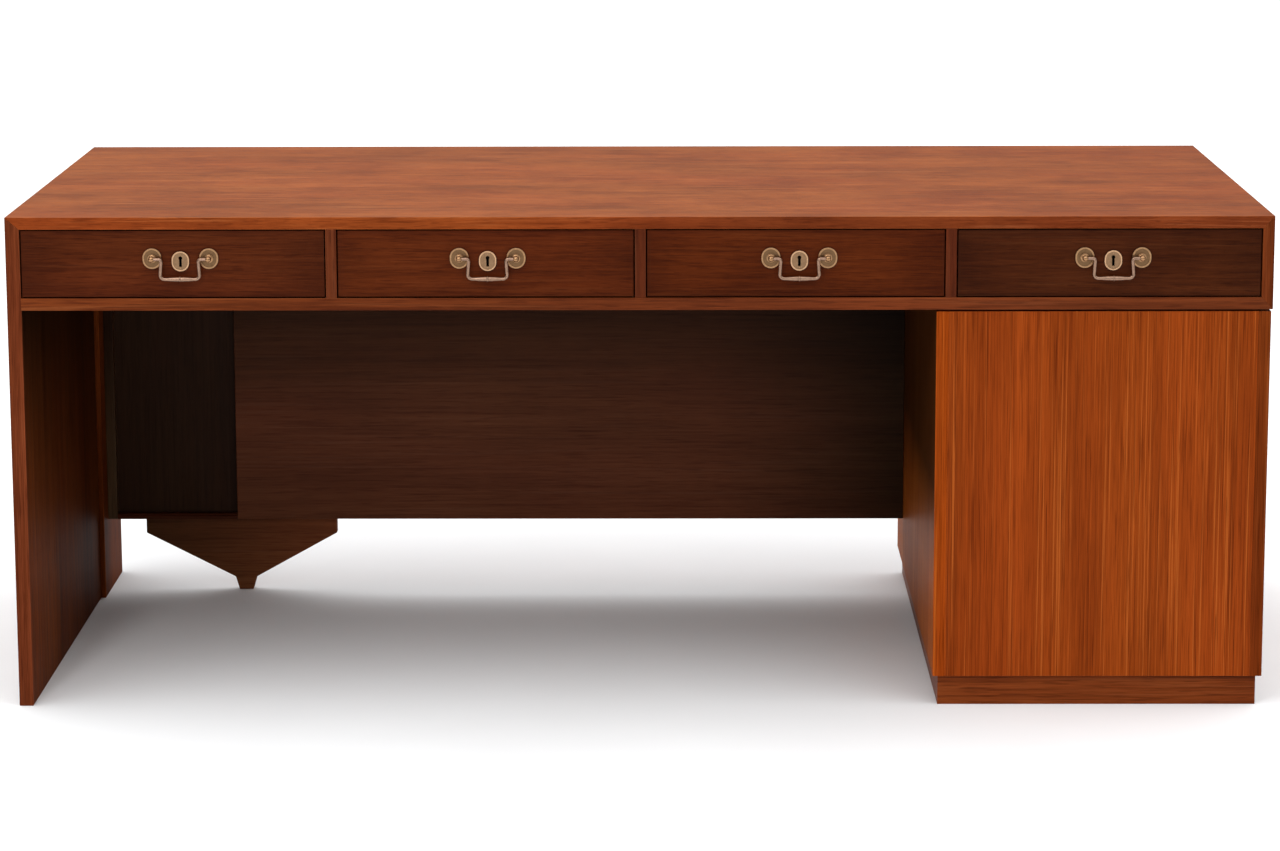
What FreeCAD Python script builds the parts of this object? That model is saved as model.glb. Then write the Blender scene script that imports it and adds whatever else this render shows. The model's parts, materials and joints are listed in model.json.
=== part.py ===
import FreeCAD, Part
import math
import os
import Sketcher

# Wooden writing desk with four drawers over a knee space and one pedestal.
# Millimetres: +X to the sitter's right, +Y away from the sitter, +Z up.
# The origin is on the floor, under the middle of the desk's outer box with its pulls.

SIZES = {
    # the whole desk
    "desk_width": 1860.0,
    "desk_depth": 880.0,
    "desk_height": 738.0,
    # the flat case that holds the drawers
    "top_thickness": 18.0,
    "end_panel_thickness": 21.0,
    "case_side_thickness": 17.0,
    "case_bottom_thickness": 18.0,
    "case_back_thickness": 18.0,
    "opening_height": 102.0,
    "divider_thickness": 16.0,
    "housing_depth": 5.0,
    "housing_stop": 12.0,
    "stop_board_thickness": 12.0,
    # the drawers
    "drawer_length": 640.0,
    "drawer_setback": 2.0,
    "front_reveal": 2.0,
    "front_thickness": 20.0,
    "drawer_side_thickness": 12.0,
    "drawer_back_thickness": 10.0,
    "drawer_back_drop": 5.0,
    "drawer_bottom_thickness": 6.0,
    "side_headroom": 4.0,
    "groove_height": 8.0,
    "groove_depth": 5.0,
    "tail_length": 14.0,
    # gaps between pieces that move past each other
    "slide_clearance": 0.3,
    "bolt_clearance": 0.3,
    "strike_clearance": 1.3,
    "pin_clearance": 0.05,
    "cut_overrun": 1.0,
    # the posts that carry each bail, with their oval rosettes
    "pull_height": 57.0,
    "post_spacing": 83.4,
    "post_reach": 11.0,
    "rosette_width": 27.6,
    "rosette_stretch": 2.8,
    "rosette_thickness": 1.2,
    "rosette_rim_width": 2.4,
    "rosette_rim_height": 0.9,
    "boss_diameter": 13.0,
    "boss_height": 1.0,
    "cove_radius": 2.4,
    "stem_diameter": 6.4,
    "ball_diameter": 9.0,
    "pin_past_centre": 1.2,
    # the swan-necked bail
    "wire_diameter": 5.0,
    "neck_half_width": 27.2,
    "bail_drop": 29.4,
    "neck_radius": 3.4,
    "corner_radius": 6.5,
    "swell_half_length": 26.4,
    "swell_radius": 3.5,
    "bead_radius": 3.0,
    "bead_wire_radius": 1.35,
    # the escutcheon and its keyhole
    "escutcheon_width": 25.4,
    "escutcheon_stretch": 4.0,
    "escutcheon_drop": 4.0,
    "escutcheon_thickness": 1.3,
    "escutcheon_rim_width": 2.0,
    "escutcheon_rim_height": 0.9,
    "keyhole_radius": 2.8,
    "keyhole_rise": 4.6,
    "keyhole_slot_width": 3.9,
    "keyhole_slot_drop": 8.2,
    # the lock let into the back of each drawer front
    "lock_width": 44.0,
    "lock_depth": 10.0,
    "lock_height": 62.0,
    "lock_wall": 2.0,
    "bolt_width": 18.0,
    "bolt_thickness": 5.0,
    "bolt_length": 28.0,
    "bolt_throw": 6.0,
    # the pedestal
    "pedestal_width": 491.0,
    "pedestal_side_inset": 2.0,
    "pedestal_face_inset": 1.5,
    "pedestal_panel_thickness": 18.0,
    "shadow_gap": 3.0,
    "bookcase_depth": 300.0,
    "bookcase_back_thickness": 12.0,
    "shelf_thickness": 18.0,
    "shelf_inset": 10.0,
    "plinth_height": 45.0,
    "plinth_recess": 8.0,
    "plinth_thickness": 18.0,
    # the modesty panel, the sunk panel beside it and the board that stands under them
    "lining_setback": 688.0,
    "lining_thickness": 8.0,
    "modesty_setback": 735.0,
    "modesty_thickness": 16.0,
    "modesty_clearance": 125.0,
    "cleat_width": 16.0,
    "sunk_panel_width": 202.0,
    "sunk_panel_thickness": 12.0,
    "sunk_panel_lap": 25.0,
    "foot_board_inset": 62.0,
    "foot_board_width": 322.0,
    "foot_board_thickness": 18.0,
    "foot_board_lap": 100.0,
    "shoulder_height": 98.0,
    "foot_height": 22.0,
    "foot_shift": 6.0,
    "foot_top_width": 36.0,
    "foot_end_width": 23.0,
}

# Angles in degrees and plain ratios.
neck_lean_degrees = 4.0
dovetail_slope_ratio = 6.0
front_tail_count = 3
back_tail_count = 2
tail_width_share = 0.74
shelf_height_share = 0.5

# Where the dividers' middles lie, as shares of the desk's width from its middle.
divider_centre_shares = (-0.243, 0.001, 0.246)
# How far each pull sits to the right of its drawer's middle, as shares of the front's width.
pull_shift_shares = (0.026, 0.007, 0.012, 0.012)


class Length:
    """A size or a place: its number, and the same sum as a formula on the sheet."""

    def __init__(self, value, formula):
        self.value = value
        self.formula = formula

    def __add__(self, other):
        return Length(self.value + other.value, f"({self.formula} + {other.formula})")

    def __sub__(self, other):
        return Length(self.value - other.value, f"({self.formula} - {other.formula})")

    def __neg__(self):
        return Length(-self.value, f"(-{self.formula})")

    def __mul__(self, factor):
        return Length(self.value * factor, f"({self.formula} * ({factor!r}))")

    def __truediv__(self, count):
        return Length(self.value / count, f"({self.formula} / {count!r})")


class Sheet:
    """Gives each named size as a Length, as in size.desk_width."""

    def __getattr__(self, name):
        return Length(SIZES[name], "sizes." + name)


size = Sheet()
zero = Length(0.0, "0")


def third_side(longest, other):
    """The third side of a right-angled triangle, from its longest side and another."""
    value = math.sqrt(longest.value ** 2 - other.value ** 2)
    return Length(value, f"sqrt({longest.formula}^2 - {other.formula}^2)")


doc = FreeCAD.newDocument("desk")
sheet = doc.addObject("Spreadsheet::Sheet", "sizes")
for row, (name, number) in enumerate(SIZES.items(), start=1):
    sheet.set(f"A{row}", name)
    sheet.set(f"B{row}", str(number))
    sheet.setAlias(f"B{row}", name)
doc.recompute()

nodes = []


def node(piece, name):
    """Names a finished piece and lists it for export."""
    piece.Label = name
    nodes.append(piece)
    return piece


def move(piece, x, y, z):
    """Puts a piece's own origin at a place."""
    for axis, place in (("x", x), ("y", y), ("z", z)):
        piece.setExpression("Placement.Base." + axis, place.formula)


def turn(piece, axis, degrees):
    """Turns a piece about its own origin."""
    piece.Placement = FreeCAD.Placement(FreeCAD.Vector(), FreeCAD.Rotation(axis, degrees))


along_x = FreeCAD.Vector(1, 0, 0)
along_y = FreeCAD.Vector(0, 1, 0)


def box(name, x, y, z):
    """A square block between a low and a high place on each axis."""
    block = doc.addObject("Part::Box", name)
    for side, (low, high) in (("Length", x), ("Width", y), ("Height", z)):
        block.setExpression(side, (high - low).formula)
    move(block, x[0], y[0], z[0])
    return block


def around(middle, width):
    """The low and high place of a width about its middle."""
    return middle - width / 2, middle + width / 2


def rod(name, radius, length):
    """A round bar along its own Z."""
    bar = doc.addObject("Part::Cylinder", name)
    bar.setExpression("Radius", radius.formula)
    bar.setExpression("Height", length.formula)
    return bar


def fuse(name, pieces):
    """Several touching shapes as one solid."""
    joined = doc.addObject("Part::MultiFuse", name)
    joined.Shapes = pieces
    joined.Refine = True
    return joined


def cut(name, base, tools):
    """A shape less each of the tools in turn."""
    for number, tool in enumerate(tools, start=1):
        last = number == len(tools)
        step = doc.addObject("Part::Cut", name if last else f"{name}_cut_{number}")
        step.Base = base
        step.Tool = tool
        base = step
    return base


def group(name, pieces):
    """Separate solids that share one node."""
    together = doc.addObject("Part::Compound", name)
    together.Links = pieces
    return together


def bind(sketch, run, end, side, place):
    """Ties one coordinate of a drawn point to its place: side 0 is across and 1 is up."""
    if place is zero:
        sketch.addConstraint(Sketcher.Constraint("PointOnObject", run, end, -2 if side == 0 else -1))
        return
    kind = ("DistanceX", "DistanceY")[side]
    bound = sketch.addConstraint(Sketcher.Constraint(kind, run, end, place.value))
    sketch.setExpression(f"Constraints[{bound}]", place.formula)


def draw_arc(sketch, run, first, second, centre):
    """Draws an arc about its centre the shorter way round and says which end comes first."""
    middle = FreeCAD.Vector(centre[0].value, centre[1].value, 0)
    leftward = (first - middle).cross(second - middle).z > 0
    low, high = (first, second) if leftward else (second, first)
    angles = [math.atan2(point.y - middle.y, point.x - middle.x) for point in (low, high)]
    if angles[1] < angles[0]:
        angles[1] += 2 * math.pi
    circle = Part.Circle(middle, FreeCAD.Vector(0, 0, 1), (first - middle).Length)
    sketch.addGeometry(Part.ArcOfCircle(circle, angles[0], angles[1]))
    chord = second - first
    side = 1 if abs(chord.x) > abs(chord.y) else 0
    bind(sketch, run, 3, side, centre[side])
    return (1, 2) if leftward else (2, 1)


def draw(sketch, corners, arcs, closed):
    """Draws lines from corner to corner, and an arc where a run's number has a centre in arcs."""
    count = len(corners)
    runs = count if closed else count - 1
    ends = []
    for run in range(runs):
        pair = (corners[run], corners[(run + 1) % count])
        first, second = (FreeCAD.Vector(across.value, up.value, 0) for across, up in pair)
        if run in arcs:
            ends.append(draw_arc(sketch, run, first, second, arcs[run]))
        else:
            sketch.addGeometry(Part.LineSegment(first, second))
            ends.append((1, 2))
    for run in range(runs if closed else runs - 1):
        after = (run + 1) % runs
        sketch.addConstraint(Sketcher.Constraint("Coincident", run, ends[run][1], after, ends[after][0]))
    for number, corner in enumerate(corners):
        run, end = (number, ends[number][0]) if number < runs else (runs - 1, ends[-1][1])
        bind(sketch, run, end, 0, corner[0])
        bind(sketch, run, end, 1, corner[1])


def sketch_on(body, role, name):
    """An empty sketch on one of its own body's origin planes."""
    sketch = body.newObject("Sketcher::SketchObject", name)
    plane = [feature for feature in body.Origin.OriginFeatures if feature.Role == role][0]
    sketch.AttachmentSupport = (plane, [""])
    sketch.MapMode = "FlatFace"
    return sketch


def board(name, role, corners, run):
    """A board with a drawn outline, from a low to a high place across that outline."""
    body = doc.addObject("PartDesign::Body", name)
    sketch = sketch_on(body, role, name + "_outline")
    draw(sketch, corners, {}, True)
    pad = body.newObject("PartDesign::Pad", name + "_pad")
    pad.Profile = sketch
    pad.Reversed = role == "XZ_Plane"
    pad.setExpression("Length", (run[1] - run[0]).formula)
    body.Tip = pad
    axis = {"XZ_Plane": "y", "YZ_Plane": "x", "XY_Plane": "z"}[role]
    body.setExpression("Placement.Base." + axis, run[0].formula)
    return body


# Places that many pieces share.
left = -size.desk_width / 2
right = size.desk_width / 2
front = (size.post_reach + size.ball_diameter / 2 - size.drawer_setback - size.desk_depth) / 2
back = front + size.desk_depth
under_top = size.desk_height - size.top_thickness
opening_low = under_top - size.opening_height
case_low = opening_low - size.case_bottom_thickness
inner_left = left + size.end_panel_thickness
inner_right = right - size.case_side_thickness
face = front + size.drawer_setback
divider_end = face + size.drawer_length + size.slide_clearance

# Places in every drawer.
inside = face + size.front_thickness
front_low = opening_low + size.front_reveal
front_high = under_top - size.front_reveal
side_low = opening_low + size.slide_clearance
side_high = under_top - size.side_headroom
panel_low = side_low + size.groove_height
panel_high = panel_low + size.drawer_bottom_thickness
rear = face + size.drawer_length
rear_inner = rear - size.drawer_back_thickness
pull_z = front_low + size.pull_height
pin_y = face - size.post_reach
bolt_high = front_high - size.bolt_clearance
bolt_low = bolt_high - size.bolt_length
bolt_y = inside - size.lock_depth / 2
bolt_depth = around(bolt_y, size.bolt_thickness)


def widened(pair, margin):
    """A low and a high place, each moved outwards by a margin."""
    return pair[0] - margin, pair[1] + margin


def dovetails(name, x, y, z, count, flare_first):
    """Tails across a board's end, wide at the end that flares and spaced evenly up its height."""
    pitch = (z[1] - z[0]) / count
    half_wide = pitch * tail_width_share / 2
    half_narrow = half_wide - (y[1] - y[0]) / dovetail_slope_ratio
    tails = []
    for number in range(count):
        middle = z[0] + pitch * (number + 1) - pitch / 2
        near, far = (half_wide, half_narrow) if flare_first else (half_narrow, half_wide)
        tail = doc.addObject("Part::Wedge", f"{name}_{number + 1}")
        for key, place in (
            ("Xmin", x[0]), ("Xmax", x[1]), ("X2min", x[0]), ("X2max", x[1]),
            ("Ymin", y[0]), ("Ymax", y[1]),
            ("Zmin", middle - near), ("Zmax", middle + near),
            ("Z2min", middle - far), ("Z2max", middle + far),
        ):
            tail.setExpression(key, place.formula)
        tails.append(tail)
    return tails


def drawer_side(name, x, panel):
    """A side with tails at both ends, grooved for the bottom panel."""
    pieces = [
        box(name + "_core", x, (inside, rear_inner), (side_low, side_high)),
        box(name + "_heel", x, (rear_inner, rear), (side_low, panel_high)),
    ]
    fore = (inside - size.tail_length, inside)
    aft = (rear_inner, rear)
    pieces += dovetails(name + "_front_tail", x, fore, (side_low, side_high), front_tail_count, True)
    pieces += dovetails(name + "_back_tail", x, aft, (panel_high, side_high), back_tail_count, False)
    return cut(name, fuse(name + "_blank", pieces), [panel])


def keyhole(name, middle):
    """The shape of the keyhole, from in front of the escutcheon into the lock."""
    start = face - size.post_reach
    finish = inside - size.lock_wall
    centre_z = pull_z - size.escutcheon_drop
    eye_z = centre_z + size.keyhole_rise
    eye = rod(name + "_eye", size.keyhole_radius, finish - start)
    turn(eye, along_x, -90)
    move(eye, middle, start, eye_z)
    slot_x = around(middle, size.keyhole_slot_width)
    slot = box(name + "_slot", slot_x, (start, finish), (centre_z - size.keyhole_slot_drop, eye_z))
    return fuse(name, [eye, slot])


def oval(name, middle, centre_z, radius, stretch, y):
    """An upright oval: two round ends and the straight stretch between them."""
    low, high = around(centre_z, stretch)
    pieces = [box(name + "_middle", (middle - radius, middle + radius), y, (low, high))]
    for end, place in (("lower", low), ("upper", high)):
        disc = rod(f"{name}_{end}", radius, y[1] - y[0])
        turn(disc, along_x, -90)
        move(disc, middle, y[0], place)
        pieces.append(disc)
    return fuse(name, pieces)


def rimmed_plate(name, kind, middle, centre_z, tools):
    """An oval plate on the drawer's face with a raised rim, in the sizes of its kind."""
    words = ("width", "stretch", "thickness", "rim_width", "rim_height")
    width, stretch, thickness, rim_width, rim_height = (getattr(size, f"{kind}_{word}") for word in words)
    field_y = face - thickness
    rim_y = field_y - rim_height
    radius = width / 2
    plate = oval(name + "_plate", middle, centre_z, radius, stretch, (rim_y, face))
    field = oval(name + "_field", middle, centre_z, radius - rim_width, stretch, (rim_y, field_y))
    return cut(name, plate, [field] + tools)


def post(name, x, inward):
    """A rosette with a turned boss, stem and ball, drilled from one side for the bail's pin."""
    body = doc.addObject("PartDesign::Body", name + "_turned")
    sketch = sketch_on(body, "XY_Plane", name + "_profile")
    boss_radius = size.boss_diameter / 2
    boss_y = -size.rosette_thickness - size.boss_height
    stem_radius = size.stem_diameter / 2
    ball_radius = size.ball_diameter / 2
    cove_x = stem_radius + size.cove_radius
    cove_y = boss_y - size.cove_radius
    neck_y = third_side(ball_radius, stem_radius) - size.post_reach
    corners = [
        (zero, zero),
        (boss_radius, zero),
        (boss_radius, boss_y),
        (cove_x, boss_y),
        (stem_radius, cove_y),
        (stem_radius, neck_y),
        (zero, -size.post_reach - ball_radius),
    ]
    arcs = {
        3: (cove_x, cove_y),
        5: (zero, -size.post_reach),
    }
    draw(sketch, corners, arcs, True)
    turning = body.newObject("PartDesign::Revolution", name + "_turning")
    turning.Profile = sketch
    turning.ReferenceAxis = (sketch, ["V_Axis"])
    turning.Angle = 360
    body.Tip = turning
    move(body, x, face, pull_z)
    rosette = rimmed_plate(name + "_rosette", "rosette", x, pull_z, [])
    bore = rod(name + "_bore", size.wire_diameter / 2 + size.pin_clearance, size.ball_diameter)
    turn(bore, along_y, 90 * inward)
    depth = (size.pin_past_centre + size.slide_clearance) * inward
    move(bore, x - depth, pin_y, pull_z)
    return cut(name, fuse(name + "_blank", [rosette, body]), [bore])


def bail(name, middle):
    """A hanging handle: two pins, two leaning necks and a bar that swells to a bead."""
    lean = math.radians(neck_lean_degrees)
    reach = math.tan((math.pi / 2 + lean) / 2)
    neck = size.neck_half_width
    foot = neck + size.bail_drop * math.tan(lean)
    neck_cut = size.neck_radius * reach
    foot_cut = size.corner_radius * reach
    drop = -size.bail_drop
    half = [
        (size.post_spacing / 2 + size.pin_past_centre, zero),
        (neck + neck_cut, zero),
        (neck + neck_cut * math.sin(lean), -neck_cut * math.cos(lean)),
        (foot - foot_cut * math.sin(lean), drop + foot_cut * math.cos(lean)),
        (foot - foot_cut, drop),
    ]
    corners = half + [(-x, z) for x, z in reversed(half[1:])] + [(-half[0][0], zero)]
    corners = [(x, zero if z.value == 0 else z) for x, z in corners]
    neck_centre = (neck + neck_cut, -size.neck_radius)
    foot_centre = (foot - foot_cut, drop + size.corner_radius)
    arcs = {
        1: neck_centre,
        3: foot_centre,
        5: (-foot_centre[0], foot_centre[1]),
        7: (-neck_centre[0], neck_centre[1]),
    }
    body = doc.addObject("PartDesign::Body", name + "_wire")
    path = sketch_on(body, "XZ_Plane", name + "_path")
    draw(path, corners, arcs, False)
    section = sketch_on(body, "YZ_Plane", name + "_section")
    section.setExpression("AttachmentOffset.Base.z", half[0][0].formula)
    radius = size.wire_diameter / 2
    section.addGeometry(Part.Circle(FreeCAD.Vector(), FreeCAD.Vector(0, 0, 1), radius.value))
    section.addConstraint(Sketcher.Constraint("Coincident", 0, 3, -1, 1))
    bound = section.addConstraint(Sketcher.Constraint("Radius", 0, radius.value))
    section.setExpression(f"Constraints[{bound}]", radius.formula)
    pipe = body.newObject("PartDesign::AdditivePipe", name + "_pipe")
    pipe.Profile = section
    pipe.Spine = (path, [f"Edge{number + 1}" for number in range(len(corners) - 1)])
    body.Tip = pipe
    move(body, middle, pin_y, pull_z)
    swell = doc.addObject("Part::Ellipsoid", name + "_swell")
    swell.setExpression("Radius1", size.swell_radius.formula)
    swell.setExpression("Radius2", size.swell_half_length.formula)
    swell.setExpression("Radius3", size.swell_radius.formula)
    move(swell, middle, pin_y, pull_z + drop)
    bead = doc.addObject("Part::Torus", name + "_bead")
    bead.setExpression("Radius1", size.bead_radius.formula)
    bead.setExpression("Radius2", size.bead_wire_radius.formula)
    turn(bead, along_y, 90)
    move(bead, middle, pin_y, pull_z + drop)
    return fuse(name, [body, swell, bead])


def lock(name, middle, blank, hole):
    """A lock case with a slot for its bolt, open at the top."""
    slot_x = widened(around(middle, size.bolt_width), size.bolt_clearance)
    slot_y = widened(bolt_depth, size.bolt_clearance)
    slot_z = (bolt_low - size.bolt_clearance, front_high + size.cut_overrun)
    return cut(name, blank, [box(name + "_slot", slot_x, slot_y, slot_z), hole])


def strike(number, middle):
    """The mortise over a drawer that its bolt rises into."""
    x = widened(around(middle, size.bolt_width), size.strike_clearance)
    y = widened(bolt_depth, size.strike_clearance)
    z = (under_top - size.cut_overrun, bolt_high + size.bolt_throw + size.strike_clearance)
    return box(f"strike_{number}", x, y, z)


def drawer(number, opening, shift_share):
    """One dovetailed drawer with its lock, escutcheon, posts and bail."""
    name = f"drawer_{number}"
    ends = (opening[0] + size.front_reveal, opening[1] - size.front_reveal)
    width = ends[1] - ends[0]
    middle = ends[0] + width / 2 + width * shift_share
    inner = (ends[0] + size.drawer_side_thickness, ends[1] - size.drawer_side_thickness)
    panel_y = (inside - size.groove_depth, rear)
    panel_x = widened(inner, size.groove_depth)
    panel = node(box(name + "_bottom", panel_x, panel_y, (panel_low, panel_high)), name + "_bottom")
    sides = []
    for side, x in (("left", (ends[0], inner[0])), ("right", (inner[1], ends[1]))):
        label = f"{name}_{side}_side"
        sides.append(node(drawer_side(label, x, panel), label))
    back_z = (panel_high, side_high - size.drawer_back_drop)
    back_blank = box(name + "_back_blank", ends, (rear_inner, rear), back_z)
    node(cut(name + "_back", back_blank, sides), name + "_back")
    hole = keyhole(name + "_keyhole", middle)
    lock_x = around(middle, size.lock_width)
    lock_y = (inside - size.lock_depth, inside)
    lock_blank = box(name + "_lock_case", lock_x, lock_y, (front_high - size.lock_height, front_high))
    front_blank = box(name + "_front_blank", ends, (face, inside), (front_low, front_high))
    node(cut(name + "_front", front_blank, sides + [panel, lock_blank, hole]), name + "_front")
    node(lock(name + "_lock", middle, lock_blank, hole), name + "_lock")
    plate_z = pull_z - size.escutcheon_drop
    node(rimmed_plate(name + "_escutcheon", "escutcheon", middle, plate_z, [hole]), name + "_escutcheon")
    posts = []
    for side, inward in (("left", -1), ("right", 1)):
        x = middle + size.post_spacing / 2 * inward
        posts.append(post(f"{name}_{side}_post", x, -inward))
    node(group(name + "_pull_posts", posts), name + "_pull_posts")
    node(bail(f"bail_{number}", middle), f"bail_{number}")
    bolt_x = around(middle, size.bolt_width)
    node(box(f"bolt_{number}", bolt_x, bolt_depth, (bolt_low, bolt_high)), f"bolt_{number}")
    return strike(number, middle)


def divider(name, middle):
    """An upright between two drawers, housed in the boards above and below it."""
    stop = front + size.housing_stop
    low = opening_low - size.housing_depth
    high = under_top + size.housing_depth
    corners = [
        (front, opening_low), (stop, opening_low), (stop, low), (divider_end, low),
        (divider_end, high), (stop, high), (stop, under_top), (front, under_top),
    ]
    return board(name, "YZ_Plane", corners, around(middle, size.divider_thickness))


def case():
    """The flat case: top, ends, bottom, dividers, backs and the four drawers in it."""
    middles = [size.desk_width * share for share in divider_centre_shares]
    dividers = [divider(f"divider_{number}", middle) for number, middle in enumerate(middles, start=1)]
    node(group("dividers", dividers), "dividers")
    lows = [inner_left] + [middle + size.divider_thickness / 2 for middle in middles]
    highs = [middle - size.divider_thickness / 2 for middle in middles] + [inner_right]
    openings = zip(lows, highs, pull_shift_shares)
    strikes = []
    for number, (low, high, share) in enumerate(openings, start=1):
        strikes.append(drawer(number, (low, high), share))
    depth = (front, back)
    top_corners = [
        (inner_left, under_top), (inner_right, under_top),
        (right, size.desk_height), (left, size.desk_height),
    ]
    top = board("top_blank", "XZ_Plane", top_corners, depth)
    node(cut("top_board", top, dividers + strikes), "top_board")
    end_corners = [
        (left, zero), (inner_left, zero), (inner_left, under_top), (left, size.desk_height),
    ]
    node(board("left_end_panel", "XZ_Plane", end_corners, depth), "left_end_panel")
    side_corners = [
        (inner_right, opening_low), (right, case_low),
        (right, size.desk_height), (inner_right, under_top),
    ]
    node(board("right_case_side", "XZ_Plane", side_corners, depth), "right_case_side")
    bottom_corners = [
        (inner_left, case_low), (right, case_low), (inner_right, opening_low), (inner_left, opening_low),
    ]
    bottom = board("case_bottom_blank", "XZ_Plane", bottom_corners, depth)
    node(cut("case_bottom", bottom, dividers), "case_bottom")
    span = (inner_left, inner_right)
    height = (opening_low, under_top)
    stop_y = (divider_end, divider_end + size.stop_board_thickness)
    node(box("drawer_stop_board", span, stop_y, height), "drawer_stop_board")
    node(box("case_back", span, (back - size.case_back_thickness, back), height), "case_back")


def pedestal():
    """The closed pedestal with shelves open to the back, on a recessed plinth."""
    thickness = size.pedestal_panel_thickness
    x_high = right - size.pedestal_side_inset
    x_low = x_high - size.pedestal_width
    y_low = front + size.pedestal_face_inset
    y_high = back - size.pedestal_face_inset
    low = size.plinth_height
    high = case_low - size.shadow_gap
    inner = (x_low + thickness, x_high - thickness)
    behind = y_low + thickness
    top_low = case_low - thickness
    floor_high = low + thickness
    node(box("pedestal_front", inner, (y_low, behind), (low, high)), "pedestal_front")
    node(box("pedestal_top", inner, (behind, y_high), (top_low, case_low)), "pedestal_top")
    node(box("pedestal_bottom", inner, (behind, y_high), (low, floor_high)), "pedestal_bottom")
    shelf_y = y_high - size.bookcase_depth
    back_y = (shelf_y - size.bookcase_back_thickness, shelf_y)
    node(box("bookcase_back", inner, back_y, (floor_high, top_low)), "bookcase_back")
    shelf_low = floor_high + (top_low - floor_high - size.shelf_thickness) * shelf_height_share
    shelf_x = widened(inner, size.housing_depth)
    shelf_run = (shelf_y, y_high - size.shelf_inset)
    shelf_z = (shelf_low, shelf_low + size.shelf_thickness)
    shelf = node(box("bookcase_shelf", shelf_x, shelf_run, shelf_z), "bookcase_shelf")
    for side, x in (("left", (x_low, inner[0])), ("right", (inner[1], x_high))):
        name = f"pedestal_{side}_side"
        blank = box(name + "_blank", x, (y_low, y_high), (low, high))
        node(cut(name, blank, [shelf]), name)
    plinth(widened((x_low, x_high), -size.plinth_recess), widened((y_low, y_high), -size.plinth_recess))
    return x_low


def rectangle(x, y):
    """The four corners between a low and a high place on both axes, in order."""
    return [(x[0], y[0]), (x[1], y[0]), (x[1], y[1]), (x[0], y[1])]


def plinth(x, y):
    """Four boards on edge, mitred at the corners."""
    outer = rectangle(x, y)
    inner = rectangle(widened(x, -size.plinth_thickness), widened(y, -size.plinth_thickness))
    boards = []
    for number, side in enumerate(("front", "right", "back", "left")):
        after = (number + 1) % len(outer)
        corners = [outer[number], outer[after], inner[after], inner[number]]
        boards.append(board(f"plinth_{side}", "XY_Plane", corners, (zero, size.plinth_height)))
    node(group("plinth", boards), "plinth")


def modesty(pedestal_left):
    """The panel behind the knees, the sunk panel beside it and the pointed board with a foot."""
    y_low = front + size.modesty_setback
    y_high = y_low + size.modesty_thickness
    low = size.modesty_clearance
    height = (low, case_low)
    lined = inner_left + size.lining_thickness
    lining_y = (front + size.lining_setback, back)
    node(box("end_lining", (inner_left, lined), lining_y, (zero, case_low)), "end_lining")
    cleat_x = (lined, lined + size.cleat_width)
    node(box("corner_cleat", cleat_x, (y_low, y_high), height), "corner_cleat")
    panel_left = cleat_x[1] + size.sunk_panel_width
    node(box("modesty_panel", (panel_left, pedestal_left), (y_low, y_high), height), "modesty_panel")
    sunk_x = (lined, panel_left + size.sunk_panel_lap)
    sunk_y = (y_high, y_high + size.sunk_panel_thickness)
    node(box("sunk_panel", sunk_x, sunk_y, height), "sunk_panel")
    x_low = lined + size.foot_board_inset
    x_high = x_low + size.foot_board_width
    middle = x_low + size.foot_board_width / 2 + size.foot_shift
    foot_top = around(middle, size.foot_top_width)
    foot_end = around(middle, size.foot_end_width)
    high = low + size.foot_board_lap
    corners = [
        (x_low, size.shoulder_height), (foot_top[0], size.foot_height), (foot_end[0], zero),
        (foot_end[1], zero), (foot_top[1], size.foot_height), (x_high, size.shoulder_height),
        (x_high, high), (sunk_x[1], high), (sunk_x[1], low), (x_low, low),
    ]
    run = (y_high, y_high + size.foot_board_thickness)
    node(board("foot_board", "XZ_Plane", corners, run), "foot_board")


def export():
    """Checks every object and writes each node's shape to its own file."""
    doc.recompute()
    for item in doc.Objects:
        if "Invalid" in item.State or "Error" in item.State:
            raise RuntimeError(f"{item.Name} failed: {item.State}")
    os.makedirs("parts", exist_ok=True)
    for piece in nodes:
        shape = piece.Shape
        if shape.isNull() or not shape.isValid():
            raise RuntimeError(f"{piece.Label} has no valid shape")
        shape.exportStep(f"parts/{piece.Label}.step")
        print(piece.Label, len(shape.Solids), round(shape.Volume))


case()
modesty(pedestal())
export()
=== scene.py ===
"""The looks of a wooden writing desk: its woods, brass, floor, light and camera, in metres."""
import json
import math
from typing import NamedTuple

import bmesh
import bpy
from mathutils import Matrix, Vector

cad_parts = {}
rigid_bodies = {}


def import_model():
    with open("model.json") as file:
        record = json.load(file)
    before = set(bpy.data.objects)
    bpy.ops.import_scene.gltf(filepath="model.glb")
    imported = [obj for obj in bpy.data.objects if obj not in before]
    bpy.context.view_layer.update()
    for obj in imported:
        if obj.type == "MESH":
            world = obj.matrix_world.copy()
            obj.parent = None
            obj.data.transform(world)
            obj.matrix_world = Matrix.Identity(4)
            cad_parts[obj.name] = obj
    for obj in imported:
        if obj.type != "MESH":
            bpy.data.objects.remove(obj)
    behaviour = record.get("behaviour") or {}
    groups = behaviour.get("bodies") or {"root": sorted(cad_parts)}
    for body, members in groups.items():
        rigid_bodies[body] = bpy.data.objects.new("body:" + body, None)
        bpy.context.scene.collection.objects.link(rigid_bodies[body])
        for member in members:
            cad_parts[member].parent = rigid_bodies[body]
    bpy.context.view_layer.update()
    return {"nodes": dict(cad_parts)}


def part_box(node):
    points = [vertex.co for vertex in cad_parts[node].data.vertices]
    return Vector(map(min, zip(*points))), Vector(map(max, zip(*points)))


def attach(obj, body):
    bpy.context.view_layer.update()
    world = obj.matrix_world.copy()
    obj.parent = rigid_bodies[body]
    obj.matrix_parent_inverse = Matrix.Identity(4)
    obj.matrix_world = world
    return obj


for item in list(bpy.data.objects):
    bpy.data.objects.remove(item)

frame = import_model()
nodes = frame["nodes"]
DRAWERS = (1, 2, 3, 4)

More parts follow.
